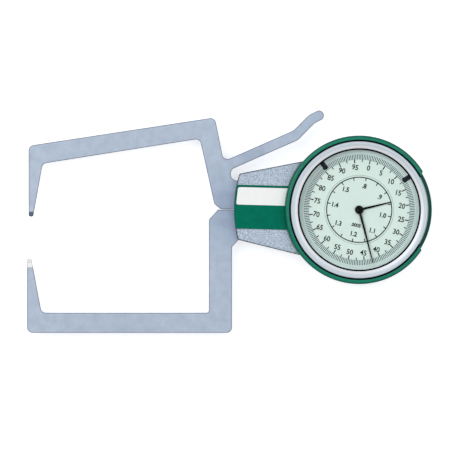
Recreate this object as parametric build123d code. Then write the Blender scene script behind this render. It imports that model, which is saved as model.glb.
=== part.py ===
# External dial caliper gauge, lying on its back.
# Origin: on the dial axis, at the flat back of the case.
# +X runs from the jaw tips to the dial, +Y to the moving arm, +Z out of the dial.
# Lengths are in millimetres, angles in degrees, anticlockwise seen from the dial side.

from build123d import *
from math import cos, radians, sin, sqrt, tan
import os

# Small fits
press = 0.02
slip = 0.05
run = 0.3

# Measuring jaws
jaw_depth = 84.8
arm_thickness = 3.5
arm_level = 6.0
split_gap = 0.55
split_line = -0.1
opening_angle = 11.5

# Fixed arm, the lower one
fixed_column_inner = 19.25
fixed_column_width = 10.9
fixed_bar_width = 9.5
fixed_drop = 58.4
fixed_leg_root = 6.8
fixed_leg_lean = 10.45
fixed_tip_below = 23.1
fixed_tip_length = 4.05
fixed_tip_outset = 1.6
fixed_inner_chamfer = 45.85
fixed_inner_chamfer_foot = 4.54
fixed_outer_chamfer = 47.0
fixed_outer_chamfer_foot = 17.64
fixed_tongue_end = 13.5
fixed_tongue_bottom = 12.6

# Moving arm, the upper one, with its finger lever
lever_root_out = 12.3
lever_root_up = 23.1
lever_slope = 23.7
lever_width = 5.0
lever_bend = 31.1
head_slope = 45.5
head_width = 4.7
head_bend = 24.1
lever_tip_slope = 28.0
lever_tip_out = 19.25
lever_tip_radius = 2.35
moving_column_lean = 11.3
moving_column_inner_lean = 12.5
moving_column_top = 43.9
moving_column_foot_out = 16.75
moving_column_foot_up = 2.87
moving_foot_chamfer = 38.15
moving_bar_slope = 8.65
moving_bar_width = 8.9
moving_leg_root = 6.6
moving_leg_lean = 10.34
moving_tip_below = 3.2
moving_tip_length = 2.0
moving_tip_outset = 0.85
notch_radius = 2.75
notch_out = 8.9
tongue_top = 13.97
tongue_end = 12.0

# Corners of both arms
corner_radius = 2.5
lever_bend_radius = 6.0
head_bend_radius = 6.0
tongue_corner_radius = 1.5

# Brazed tips of both arms
tip_radius = 0.85
tip_nose_thickness = 1.8
tip_bevel_run = 1.9

# Pivot and stop
pivot_pin_radius = 2.5
pivot_pin_seat = 1.5
hub_radius = 6.5
hub_clearance = 0.5
stop_pin_radius = 1.0
stop_pin_back = 4.0

# Hairpin spring that closes the jaws
spring_radius = 5.4
spring_strip = 0.5
spring_height = 1.4
spring_start_angle = 120.0
spring_moving_leg = 8.0
spring_fixed_leg = 6.0
spring_lug = 1.4

# Case and neck
case_radius = 34.5
case_foot_chamfer = 0.8
back_cover_thickness = 1.5
case_wall = 3.0
recess_wall = 2.0
neck_beyond_pivot = 7.35
neck_end_half_angle = 15.3
neck_taper = 12.44
neck_cant = 1.5
neck_corner = 1.2
neck_edge = 0.3
neck_proud = 0.4
neck_ceiling = 1.9
slot_wall_top = 16.2

# Label plate on the neck
label_half_width = 10.4
label_thickness = 0.6
label_field_low = 0.95
label_field_high = 9.6
label_field_depth = 0.15
label_field_margin = 0.8

# Sector plate on the moving arm
sector_radius = 40.0
sector_thickness = 1.2
sector_teeth_per_turn = 192
sector_first_tooth = -1
sector_last_tooth = 7
sector_rim = 3.2

# Movement
plate_thickness = 1.5
strap_width = 7.0
pillar_radius = 1.8
pillar_out = 14.3
wheel_thickness = 1.0
wheel_teeth = 48
pinion_teeth = 6
sector_pinion_radius = 1.25
centre_pinion_radius = 1.2
wheel_radius = 9.6
transfer_teeth = 16
transfer_thickness = 0.8
arbor_radius = 0.6
short_tube_radius = 1.1
short_tube_bore = 0.66

# Dial, bezel and guard
bezel_inset = 1.7
bezel_width = 3.7
bezel_wall = 2.3
bezel_top_width = 1.5
bezel_lip_top = 1.1
leaf_thickness = 0.28
leaf_half_angle = 9.0
dial_thickness = 0.4
dial_clear = 2.0
crystal_thickness = 1.4
crystal_clear = 1.25
setting_ring_inset = 0.1
knurl_depth = 0.45
knurl_count = 32
guard_wall = 0.8
guard_lip_clear = 0.45
guard_lip_thickness = 1.2
guard_edge = 0.5
guard_drop = 3.0
guard_rise = 5.4
window_high_angle = 30.5
window_low_angle = -32.4
window_ramp = 2.2

# Hands and limit markers
long_hand_angle = 90 - 165.5
short_hand_angle = 90 - 76.5
long_hand_inset = 3.4
long_hand_needle = 10.2
short_hand_inset = 13.7
hand_hub_radius = 2.05
hand_thickness = 0.25
hand_cap_radius = 1.3
hand_cap_height = 0.5
marker_length = 5.75
marker_width = 2.3
marker_thickness = 0.4
marker_left_angle = 90 + 38.5
marker_right_angle = 90 - 56.6
marker_shoe_half_angle = 5.0

# Heights worked out from the back upwards
rear_plate_top = back_cover_thickness + plate_thickness
arm_top = arm_level + arm_thickness
slot_bottom = arm_level - slip
slot_top = arm_top + slip
sector_top = arm_top + sector_thickness
spring_bottom = sector_top + 0.2
drive_bottom = arm_level + 0.9
drive_top = drive_bottom + wheel_thickness
transfer_bottom = sector_top + 1.1
transfer_top = transfer_bottom + transfer_thickness
front_plate_bottom = transfer_top + 1.0
case_height = front_plate_bottom + plate_thickness
neck_top = case_height + neck_proud
neck_cavity_top = neck_top - neck_ceiling
dial_bottom = case_height + dial_clear
dial_top = dial_bottom + dial_thickness
marker_bottom = dial_top + press
short_hand_bottom = dial_top + 0.5
long_hand_bottom = short_hand_bottom + 0.8
crystal_bottom = long_hand_bottom + crystal_clear
crystal_top = crystal_bottom + crystal_thickness
bezel_top = crystal_top + bezel_lip_top
setting_ring_bottom = case_height + run
guard_bottom = case_height - guard_drop
guard_top = case_height + guard_rise
setting_ring_top = guard_top - guard_lip_thickness - run

# Distances worked out across the dial and along the arms
bore_radius = case_radius - case_wall
recess_radius = case_radius - recess_wall
bezel_outer = case_radius - bezel_inset
bezel_inner = bezel_outer - bezel_width
bezel_bore = bezel_outer - bezel_wall
setting_ring_radius = case_radius - setting_ring_inset
guard_radius = case_radius + guard_wall
guard_lip_inner = bezel_outer + guard_lip_clear
long_hand_length = bezel_inner - long_hand_inset
long_hand_blade = long_hand_length - long_hand_needle
short_hand_length = bezel_inner - short_hand_inset
intermediate_distance = wheel_radius + centre_pinion_radius
pivot_distance = sector_radius + sector_pinion_radius + intermediate_distance
neck_reach = pivot_distance + neck_beyond_pivot
pivot = (-pivot_distance, 0)
fixed_x = -pivot_distance - fixed_column_inner
tip_line_x = fixed_x - jaw_depth
sector_tooth_angle = 360 / sector_teeth_per_turn
sector_module = 2 * sector_radius / sector_teeth_per_turn
wheel_module = 2 * wheel_radius / wheel_teeth
intermediate_at = (-intermediate_distance, 0)
transfer_radius = intermediate_distance / 2
stop_pin_at = (-pivot_distance + tongue_end - stop_pin_back, tongue_top + slip + stop_pin_radius)
spring_cavity_radius = spring_radius + spring_strip / 2 + 0.5


# Points, lines and simple solids

def polar(radius, angle, centre=(0, 0)):
    return (centre[0] + radius * cos(radians(angle)), centre[1] + radius * sin(radians(angle)))


def shifted(point, dx, dy):
    return (point[0] + dx, point[1] + dy)


def line_at(point, angle):
    """A line through a point, at an angle from +X."""
    return (point, (cos(radians(angle)), sin(radians(angle))))


def beside(line, distance):
    """The parallel line that lies this far to the line's right."""
    (x, y), (dx, dy) = line
    return ((x + dy * distance, y - dx * distance), (dx, dy))


def meet(first, second):
    """The point where two lines cross."""
    (ax, ay), (adx, ady) = first
    (bx, by), (bdx, bdy) = second
    along = ((bx - ax) * bdy - (by - ay) * bdx) / (adx * bdy - ady * bdx)
    return (ax + along * adx, ay + along * ady)


def outline(corners):
    """A face from corners given as (point, fillet radius)."""
    points = [point for point, radius in corners]
    radii = [radius for point, radius in corners]
    return make_face(FilletPolyline(*points, radius=radii, close=True))


def polygon(*points):
    return make_face(Polyline(*points, close=True))


def prism(face, bottom, top):
    return Pos(0, 0, bottom) * extrude(face, top - bottom)


def rod(radius, bottom, top, at=(0, 0)):
    align = (Align.CENTER, Align.CENTER, Align.MIN)
    return Pos(at[0], at[1], bottom) * Cylinder(radius, top - bottom, align=align)


def ring(outer, inner, bottom, top, at=(0, 0)):
    return rod(outer, bottom, top, at) - rod(inner, bottom, top, at)


def block(low, high):
    size = [b - a for a, b in zip(low, high)]
    return Pos(*low) * Box(*size, align=(Align.MIN, Align.MIN, Align.MIN))


def turned(profile):
    """A solid of revolution about the dial axis from (radius, height) points."""
    return revolve(Plane.XZ * polygon(*profile), Axis.Z)


def arc_band(outer, inner, half_angle):
    """A part of a flat ring, centred on +X."""
    reach = outer / cos(radians(half_angle)) * 1.05
    slice_face = polygon((0, 0), polar(reach, -half_angle), polar(reach, half_angle))
    return (Circle(outer) - Circle(inner)) & slice_face


def toothed(teeth, root_radius, tip_radius, root_share, tip_share, phase=0.0):
    """A gear outline. The shares are a tooth's width at its root and tip, as a share of the pitch."""
    step = 360 / teeth
    points = []
    for tooth in range(teeth):
        middle = phase + tooth * step
        points.append(polar(root_radius, middle - root_share * step / 2))
        points.append(polar(tip_radius, middle - tip_share * step / 2))
        points.append(polar(tip_radius, middle + tip_share * step / 2))
        points.append(polar(root_radius, middle + root_share * step / 2))
    return polygon(*points)


# Arms

def fixed_arm_outline():
    """The lower blank from its tip to the end of its tongue in the neck."""
    leg_outer = line_at((tip_line_x - fixed_tip_outset, 0), 90)
    bottom = line_at((0, -fixed_drop), 0)
    bar_top = line_at((0, -fixed_drop + fixed_bar_width), 0)
    column_inner = line_at((fixed_x, 0), 90)
    column_outer = line_at((fixed_x + fixed_column_width, 0), 90)
    leg_root = shifted(meet(leg_outer, bar_top), fixed_leg_root, 0)
    leg_inner = line_at(leg_root, 90 + fixed_leg_lean)
    tip_end = line_at((0, -fixed_tip_below), 0)
    split = line_at((0, split_line), 0)
    inner_foot = (fixed_x, -fixed_inner_chamfer_foot)
    inner_chamfer = line_at(inner_foot, fixed_inner_chamfer)
    outer_foot = (fixed_x + fixed_column_width, -fixed_outer_chamfer_foot)
    outer_chamfer = line_at(outer_foot, fixed_outer_chamfer)
    tongue_bottom = line_at((0, -fixed_tongue_bottom), 0)
    tongue_end_line = line_at((-pivot_distance + fixed_tongue_end, 0), 90)
    relief = line_at(shifted(pivot, 0, split_line - 0.2), -opening_angle - 3)
    blank = outline([
        (meet(leg_outer, tip_end), tip_radius),
        (meet(leg_outer, bottom), corner_radius),
        (meet(column_outer, bottom), corner_radius),
        (outer_foot, 0),
        (meet(outer_chamfer, tongue_bottom), 0),
        (meet(tongue_end_line, tongue_bottom), tongue_corner_radius),
        (meet(tongue_end_line, relief), tongue_corner_radius / 2),
        (meet(relief, split), 0),
        (meet(inner_chamfer, split), 0),
        (inner_foot, 0),
        (meet(column_inner, bar_top), corner_radius / 2),
        (leg_root, corner_radius),
        (meet(leg_inner, tip_end), tip_radius),
    ])
    return blank - Pos(*pivot) * Circle(hub_radius + hub_clearance)


def moving_arm_outline():
    """The upper blank: leg, bar, column, lever and the tongue round the pivot."""
    lever_root = (-pivot_distance - lever_root_out, lever_root_up)
    column_outer = line_at(lever_root, 90 + moving_column_lean)
    shoulder = meet(column_outer, line_at((0, moving_column_top), 0))
    bar_top = line_at(shoulder, moving_bar_slope)
    bar_bottom = beside(bar_top, moving_bar_width)
    leg_outer = line_at((tip_line_x - moving_tip_outset, 0), 90)
    leg_root = shifted(meet(leg_outer, bar_bottom), moving_leg_root, 0)
    leg_inner = line_at(leg_root, 90 - moving_leg_lean)
    tip_end = line_at((0, -moving_tip_below), 0)
    foot = (-pivot_distance - moving_column_foot_out, moving_column_foot_up)
    column_inner = line_at(foot, 90 + moving_column_inner_lean)
    foot_chamfer = line_at(foot, -moving_foot_chamfer)
    split = line_at((0, split_line + split_gap), 0)
    lever_top = line_at(lever_root, lever_slope)
    lever_bottom = beside(lever_top, lever_width)
    bend_top = meet(lever_top, line_at((-lever_bend, 0), 90))
    head_top = line_at(bend_top, head_slope)
    head_bottom = beside(head_top, head_width)
    bend_head = meet(head_top, line_at((-head_bend, 0), 90))
    tip_top = line_at(bend_head, lever_tip_slope)
    tip_bottom = beside(tip_top, 2 * lever_tip_radius)
    tip_corner = meet(tip_top, line_at((-lever_tip_out + lever_tip_radius / 2, 0), 90))
    tip_stop = line_at(tip_corner, lever_tip_slope - 90)
    notch_wall = line_at((-pivot_distance - notch_out, 0), 90)
    tongue = line_at((0, tongue_top), 0)
    tongue_right = line_at((-pivot_distance + tongue_end, 0), 90)
    blank = outline([
        (meet(leg_outer, tip_end), tip_radius),
        (meet(leg_outer, bar_top), corner_radius),
        (shoulder, corner_radius),
        (lever_root, corner_radius),
        (bend_top, lever_bend_radius),
        (bend_head, head_bend_radius),
        (meet(tip_top, tip_stop), lever_tip_radius * 0.98),
        (meet(tip_bottom, tip_stop), lever_tip_radius * 0.98),
        (meet(tip_bottom, head_bottom), head_bend_radius),
        (meet(head_bottom, lever_bottom), lever_bend_radius),
        (meet(lever_bottom, notch_wall), notch_radius),
        (meet(notch_wall, tongue), notch_radius),
        (meet(tongue, tongue_right), tongue_corner_radius),
        (meet(tongue_right, split), tongue_corner_radius),
        (meet(foot_chamfer, split), 0),
        (foot, 0),
        (meet(column_inner, bar_bottom), corner_radius),
        (leg_root, corner_radius),
        (meet(leg_inner, tip_end), tip_radius),
    ])
    return blank + Pos(*pivot) * Circle(hub_radius)


def tip_box(face_y, pointing):
    """The space beyond the brazed joint, on the side that the tip points to."""
    reach = fixed_tip_below
    side = fixed_leg_root
    near = min(face_y, face_y + pointing * reach)
    return block((tip_line_x - side, near, 0), (tip_line_x + side, near + reach, 2 * arm_top))


def tip_bevels(end_y, pointing):
    """Cutters that thin a tip towards its end, on its front and back."""
    middle = arm_level + arm_thickness / 2
    drop = (arm_thickness - tip_nose_thickness) / 2
    start_y = end_y - pointing * tip_bevel_run
    cutters = []
    for side in (-1, 1):
        face_z = middle + side * (arm_thickness / 2 + slip)
        profile = polygon(
            (start_y, face_z),
            (start_y, face_z + side * drop),
            (end_y + pointing * tip_bevel_run, face_z + side * drop),
            (end_y + pointing * tip_bevel_run, face_z - 2 * side * drop),
        )
        start_x = tip_line_x - fixed_leg_root
        cutters.append(Pos(start_x, 0, 0) * extrude(Plane.YZ * profile, 2 * fixed_leg_root))
    return cutters


def arm_and_tip(blank, joint_y, end_y, pointing):
    """Cuts a blank at the brazed joint of its tip."""
    beyond = tip_box(joint_y, pointing)
    tip = blank & beyond
    for cutter in tip_bevels(end_y, pointing):
        tip -= cutter
    return blank - beyond, tip


def make_fixed_arm():
    """The fixed blank fills the neck's slot, so the cover clamps it."""
    blank = prism(fixed_arm_outline(), slot_bottom, slot_top)
    joint_y = -fixed_tip_below - fixed_tip_length
    return arm_and_tip(blank, joint_y, -fixed_tip_below, 1)


def make_moving_arm():
    blank = prism(moving_arm_outline(), arm_level, arm_top)
    blank -= rod(pivot_pin_radius + slip, arm_level, arm_top, pivot)
    joint_y = -moving_tip_below + moving_tip_length
    return arm_and_tip(blank, joint_y, -moving_tip_below, -1)


def make_pivot_pin():
    return rod(pivot_pin_radius, pivot_pin_seat, neck_cavity_top, pivot)


def make_stop_pin():
    return rod(stop_pin_radius, slot_bottom - 2.5, slot_top, stop_pin_at)


# Sector plate and closing spring

def sector_rim_points():
    points = []
    root = sector_radius - sector_module
    tip = sector_radius + 0.7 * sector_module
    for tooth in range(sector_first_tooth, sector_last_tooth + 1):
        middle = tooth * sector_tooth_angle
        for radius, share in ((root, -0.275), (tip, -0.09), (tip, 0.09), (root, 0.275)):
            points.append(polar(radius, middle + share * sector_tooth_angle, pivot))
    return points


def make_sector_plate():
    """A web from the arm's tongue to a toothed rim that enters the case."""
    start = (sector_first_tooth - 0.5) * sector_tooth_angle
    end = (sector_last_tooth + 0.5) * sector_tooth_angle
    rim_in = sector_radius - sector_rim
    rim = polygon(*sector_rim_points(), polar(rim_in, end, pivot), polar(rim_in, start, pivot))
    pad_left = tongue_end - 6.0
    pad_high = tongue_top - 1.2
    web = polygon(
        shifted(pivot, pad_left, 2.6),
        shifted(pivot, tongue_end, 2.6),
        polar(rim_in + 1, start, pivot),
        polar(rim_in + 1, end, pivot),
        shifted(pivot, tongue_end, pad_high),
        shifted(pivot, pad_left, pad_high),
    )
    window = polygon(
        shifted(pivot, tongue_end + 2.2, 4.4),
        polar(rim_in - 1.6, start + 2.2, pivot),
        polar(rim_in - 1.6, end - 2.2, pivot),
        shifted(pivot, tongue_end + 2.2, pad_high - 2.4),
    )
    return prism(rim + web - window, arm_top, sector_top)


def spring_leg(angle_on_loop, direction, length, side):
    """One straight leg of the hairpin, and the middle of the lug that it bears on."""
    start = polar(spring_radius, angle_on_loop, pivot)
    heading = angle_on_loop + 90 * direction
    middle = polar(length / 2, heading, start)
    strip = Pos(*middle) * Rot(0, 0, heading) * Rectangle(length, spring_strip)
    bearing = polar(length - spring_lug, heading, start)
    lug_at = polar((spring_strip + spring_lug) / 2 + press, heading + 90 * side, bearing)
    lug = Pos(*lug_at) * Rot(0, 0, heading) * Rectangle(spring_lug, spring_lug)
    return strip, lug


def moving_spring_leg():
    return spring_leg(spring_start_angle, -1, spring_moving_leg, 1)


def fixed_spring_leg():
    return spring_leg(spring_start_angle + 180, 1, spring_fixed_leg, -1)


def make_return_spring():
    """A strip bent half round the pivot boss, with a leg to each lug."""
    full = Circle(spring_radius + spring_strip / 2) - Circle(spring_radius - spring_strip / 2)
    half = full & Pos(spring_radius, 0) * Rectangle(2 * spring_radius, 3 * spring_radius)
    loop = Pos(*pivot) * Rot(0, 0, spring_start_angle + 90) * half
    shape = loop + moving_spring_leg()[0] + fixed_spring_leg()[0]
    return prism(shape, spring_bottom, spring_bottom + spring_height)


def make_spring_hook():
    return prism(moving_spring_leg()[1], arm_top, spring_bottom + spring_height)


def make_spring_post():
    return prism(fixed_spring_leg()[1], spring_bottom, neck_cavity_top)


# Case and neck

def neck_outline():
    """The tapering neck, canted a little about the dial axis."""
    half = neck_reach * sin(radians(neck_end_half_angle))
    corner_x = -neck_reach * cos(radians(neck_end_half_angle))
    beyond = 4.0
    inside = -case_radius * 0.6
    narrow = half - beyond * tan(radians(neck_taper))
    wide = half + (inside - corner_x) * tan(radians(neck_taper))
    left = corner_x - beyond
    face = polygon((left, -narrow), (inside, -wide), (inside, wide), (left, narrow)) & Circle(neck_reach)
    corners = [v for v in face.vertices() if v.X < -pivot_distance]
    return Rot(0, 0, -neck_cant) * fillet(corners, neck_corner)


def moving_slot():
    """Room for the moving arm's tongue as it swings."""
    right = -pivot_distance + tongue_end + 3.4
    room = polygon(
        (-neck_reach - 3, neck_reach / 2),
        (-pivot_distance + 1.0, neck_reach / 2),
        (-pivot_distance + 3.0, slot_wall_top),
        (right, slot_wall_top),
        (right, -4.2),
        (-pivot_distance - 3, -4.2),
        (-neck_reach - 3, split_line - 0.1),
    )
    return room + Pos(*pivot) * Circle(hub_radius + hub_clearance)


def cover_room():
    """Room for the sector plate and the spring under the neck cover."""
    left = -pivot_distance
    near = -pivot_distance + tongue_end + 2.0
    right = -case_radius + 5
    room = polygon(
        (left, -spring_cavity_radius),
        (right, -spring_cavity_radius),
        (right, tongue_top - 0.4),
        (near, tongue_top + 0.6),
        (left + spring_radius, tongue_top + 0.6),
        polar(spring_cavity_radius, spring_start_angle, pivot),
    )
    return room + Pos(*pivot) * Circle(spring_cavity_radius)


def make_case_body():
    drum = chamfer(rod(case_radius, 0, case_height).edges().group_by(Axis.Z)[0], case_foot_chamfer)
    neck = prism(neck_outline(), 0, slot_top)
    neck = chamfer(neck.faces().sort_by(Axis.Z)[0].edges(), neck_edge)
    fixed_seat = offset(fixed_arm_outline(), slip, kind=Kind.INTERSECTION)
    neck -= prism(moving_slot() + fixed_seat, slot_bottom, slot_top)
    body = drum + neck
    body -= rod(bore_radius, rear_plate_top, case_height)
    body -= rod(recess_radius, 0, rear_plate_top)
    low = (-pivot_distance + tongue_end, -spring_cavity_radius, sector_top - sector_thickness - run)
    high = (-bore_radius + 3, tongue_top - 0.4, sector_top + run)
    body -= block(low, high)
    body -= rod(pivot_pin_radius, pivot_pin_seat, arm_top, pivot)
    body -= rod(stop_pin_radius, slot_bottom - 2.5, arm_top, stop_pin_at)
    return body


def make_neck_cover():
    cover = prism(neck_outline(), slot_top, neck_top)
    cover = chamfer(cover.faces().sort_by(Axis.Z)[-1].edges(), neck_edge)
    cover -= rod(case_radius + press, slot_top, neck_top)
    cover -= rod(guard_radius + press, guard_bottom - press, neck_top)
    cover -= prism(cover_room(), slot_top, neck_cavity_top)
    return cover


def label_band(low, high, reach):
    """The part of a canted band across the neck that lies between the guard and a reach."""
    left = -reach - 5
    right = -case_radius / 2
    band = polygon((left, low), (right, low), (right, high), (left, high))
    return Rot(0, 0, -neck_cant) * (band & Circle(reach)) - Circle(guard_radius + press)


def make_label_plate():
    reach = neck_reach - neck_edge * 0.5
    outer = label_band(-label_half_width, label_half_width, reach)
    field = label_band(label_field_low, label_field_high, reach - label_field_margin)
    top = neck_top + label_thickness
    return prism(outer, neck_top, top) - prism(field, top - label_field_depth, top)


def make_back_cover():
    return rod(recess_radius - press, 0, back_cover_thickness)


# Guard, bezel and dial

def guard_window():
    """The opening on the right, with a short ramp at each end."""
    inner = bezel_outer + 0.1
    outer = guard_radius + 2
    return polygon(
        polar(inner, window_low_angle + window_ramp),
        polar(outer, window_low_angle - window_ramp),
        polar(outer * 1.5, 0),
        polar(outer, window_high_angle + window_ramp),
        polar(inner, window_high_angle - window_ramp),
        polar(inner, 0),
    )


def make_guard_ring():
    wall = case_radius + press
    profile = [
        (wall, guard_bottom),
        (guard_radius, guard_bottom),
        (guard_radius, guard_top - guard_edge),
        (guard_radius - guard_edge, guard_top),
        (guard_lip_inner, guard_top),
        (guard_lip_inner, guard_top - guard_lip_thickness),
        (wall, guard_top - guard_lip_thickness),
    ]
    return turned(profile) - prism(guard_window(), guard_bottom - 1, guard_top + 1)


def make_setting_ring():
    step = 360 / knurl_count
    points = []
    for ridge in range(knurl_count):
        points.append(polar(setting_ring_radius, ridge * step))
        points.append(polar(setting_ring_radius - knurl_depth, (ridge + 0.5) * step))
    knurled = polygon(*points) - Circle(bezel_outer + press)
    return prism(knurled, setting_ring_bottom, setting_ring_top)


def make_bezel_ring():
    """It turns on the case's rim, and its sloping lip holds the crystal down."""
    profile = [
        (bezel_bore, case_height + run),
        (bezel_outer, case_height + run),
        (bezel_outer, bezel_top),
        (bezel_outer - bezel_top_width, bezel_top),
        (bezel_inner, crystal_top),
        (bezel_bore, crystal_top),
    ]
    return turned(profile)


def make_leaf_springs():
    """Three thin leaves under the bezel that keep it from turning by itself."""
    leaf = arc_band(bezel_outer - 0.1, bore_radius + 0.1, leaf_half_angle)
    flat = prism(leaf, case_height, case_height + leaf_thickness)
    return [Rot(0, 0, 120 * third) * flat for third in range(3)]


def make_crystal():
    return rod(bezel_bore - press, crystal_bottom, crystal_top)


def make_dial_face():
    return ring(bezel_bore - press, short_tube_radius + 0.5, dial_bottom, dial_top)


def make_limit_marker(angle):
    """A pointer over the dial, on a shoe that slides round inside the bezel."""
    outer = bezel_bore - slip
    marker_inner = outer - marker_length
    shoe_width = 1.0
    nose = marker_width * 0.35
    bar = outline([
        ((marker_inner, -marker_width / 2), nose),
        ((outer - shoe_width / 2, -marker_width / 2), 0),
        ((outer - shoe_width / 2, marker_width / 2), 0),
        ((marker_inner, marker_width / 2), nose),
    ])
    shoe = arc_band(outer, outer - shoe_width, marker_shoe_half_angle)
    pointer = prism(bar, marker_bottom, marker_bottom + marker_thickness)
    marker = pointer + prism(shoe, marker_bottom, marker_bottom + 2 * marker_thickness)
    return Rot(0, 0, angle) * marker


# Hands

def hand_blade(stations):
    """A blade from (radius, half width) stations along +X."""
    upper = [(radius, half) for radius, half in stations]
    lower = [(radius, -half) for radius, half in reversed(stations)]
    return polygon(*upper, *lower) + Circle(hand_hub_radius)


def make_long_hand():
    blade = hand_blade([
        (0.8, 0.65),
        (long_hand_blade, 0.42),
        (long_hand_blade + 0.5, 0.24),
        (long_hand_length, 0.14),
    ])
    return prism(Rot(0, 0, long_hand_angle) * blade, long_hand_bottom, long_hand_bottom + hand_thickness)


def make_short_hand():
    blade = hand_blade([(0.8, 0.65), (short_hand_length, 0.2)]) - Circle(short_tube_bore)
    return prism(Rot(0, 0, short_hand_angle) * blade, short_hand_bottom, short_hand_bottom + hand_thickness)


def make_hand_cap():
    bottom = long_hand_bottom + hand_thickness
    cone = Cone(hand_cap_radius, hand_cap_radius - 0.3, hand_cap_height)
    return Pos(0, 0, bottom + hand_cap_height / 2) * cone


# Movement

def strap(half_length):
    """A flat strap along Y, with an ear for the intermediate arbor."""
    half = strap_width / 2
    ear = -intermediate_distance - half
    return polygon(
        (half, -half_length),
        (half, half_length),
        (-half, half_length),
        (-half, strap_width),
        (ear, half),
        (ear, -half),
        (-half, -strap_width),
        (-half, -half_length),
    )


def make_rear_plate():
    """It spans the case's recess, between the rim and the back cover."""
    half_length = sqrt((recess_radius - press) ** 2 - strap_width ** 2 / 4)
    plate = prism(strap(half_length), back_cover_thickness, rear_plate_top)
    for at in ((0, 0), intermediate_at):
        plate -= rod(arbor_radius + slip, back_cover_thickness, rear_plate_top, at)
    return plate


def make_front_plate():
    plate = prism(strap(pillar_out + pillar_radius), front_plate_bottom, case_height)
    plate -= rod(short_tube_radius + slip, front_plate_bottom, case_height)
    return plate - rod(arbor_radius + slip, front_plate_bottom, case_height, intermediate_at)


def make_pillars():
    """Two hexagonal pillars, riveted between the plates."""
    hexagon = RegularPolygon(pillar_radius, 6)
    return [
        prism(Pos(0, side * pillar_out) * hexagon, rear_plate_top, front_plate_bottom)
        for side in (-1, 1)
    ]


def pinion(radius, bottom, top, at):
    """A pinion with a gap between its leaves towards -X."""
    module = 2 * radius / pinion_teeth
    phase = 180 / pinion_teeth + 180
    face = toothed(pinion_teeth, radius - 1.2 * module, radius + 0.6 * module, 0.34, 0.12, phase)
    return Pos(at[0], at[1], 0) * prism(face, bottom, top)


def transfer_gear(at, phase):
    module = 2 * transfer_radius / transfer_teeth
    face = toothed(transfer_teeth, transfer_radius - module, transfer_radius + 0.7 * module, 0.55, 0.18, phase)
    return Pos(at[0], at[1], 0) * prism(face, transfer_bottom, transfer_top)


def make_intermediate_arbor():
    """The arbor with the sector's pinion and the wheel that drives the short hand."""
    shaft = rod(arbor_radius, back_cover_thickness + run, case_height - run, intermediate_at)
    leaves = pinion(sector_pinion_radius, arm_top - 0.4, sector_top + 0.4, intermediate_at)
    return shaft + leaves + transfer_gear(intermediate_at, 0)


def make_intermediate_wheel():
    face = toothed(wheel_teeth, wheel_radius - wheel_module, wheel_radius + 0.7 * wheel_module, 0.55, 0.18)
    face -= Circle(arbor_radius)
    return Pos(intermediate_at[0], intermediate_at[1], 0) * prism(face, drive_bottom, drive_top)


def make_centre_arbor():
    shaft = rod(arbor_radius, back_cover_thickness + run, long_hand_bottom)
    return shaft + pinion(centre_pinion_radius, drive_bottom - 0.3, drive_top + 0.3, (0, 0))


def make_short_hand_pipe():
    """The tube round the centre arbor, with its wheel."""
    tube = rod(short_tube_radius, transfer_bottom - 0.4, short_hand_bottom)
    pipe = tube + transfer_gear((0, 0), 180 / transfer_teeth)
    return pipe - rod(short_tube_bore, transfer_bottom - 0.4, short_hand_bottom)


# Build and write

def write(name, shape):
    solids = [solid for item in (shape if isinstance(shape, list) else [shape]) for solid in item.solids()]
    whole = solids[0] if len(solids) == 1 else Compound(children=solids)
    whole.label = name
    export_step(whole, f"parts/{name}.step")


def main():
    os.makedirs("parts", exist_ok=True)
    fixed_arm, fixed_arm_tip = make_fixed_arm()
    moving_arm, moving_arm_tip = make_moving_arm()
    pieces = {
        "case_body": make_case_body(),
        "neck_cover": make_neck_cover(),
        "label_plate": make_label_plate(),
        "guard_ring": make_guard_ring(),
        "back_cover": make_back_cover(),
        "fixed_arm": fixed_arm,
        "fixed_arm_tip": fixed_arm_tip,
        "pivot_pin": make_pivot_pin(),
        "stop_pin": make_stop_pin(),
        "arm_return_spring": make_return_spring(),
        "spring_post": make_spring_post(),
        "movement_rear_plate": make_rear_plate(),
        "movement_front_plate": make_front_plate(),
        "movement_pillars": make_pillars(),
        "bezel_leaf_springs": make_leaf_springs(),
        "moving_arm": moving_arm,
        "moving_arm_tip": moving_arm_tip,
        "sector_plate": make_sector_plate(),
        "spring_hook": make_spring_hook(),
        "intermediate_arbor": make_intermediate_arbor(),
        "intermediate_wheel": make_intermediate_wheel(),
        "centre_arbor": make_centre_arbor(),
        "long_hand": make_long_hand(),
        "hand_cap": make_hand_cap(),
        "short_hand_pipe": make_short_hand_pipe(),
        "short_hand": make_short_hand(),
        "setting_ring": make_setting_ring(),
        "bezel_ring": make_bezel_ring(),
        "crystal": make_crystal(),
        "dial_face": make_dial_face(),
        "limit_marker_left": make_limit_marker(marker_left_angle),
        "limit_marker_right": make_limit_marker(marker_right_angle),
    }
    for name, shape in pieces.items():
        write(name, shape)
        print(name, "written")


main()
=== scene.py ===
from math import cos, pi, radians, sin, sqrt

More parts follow.
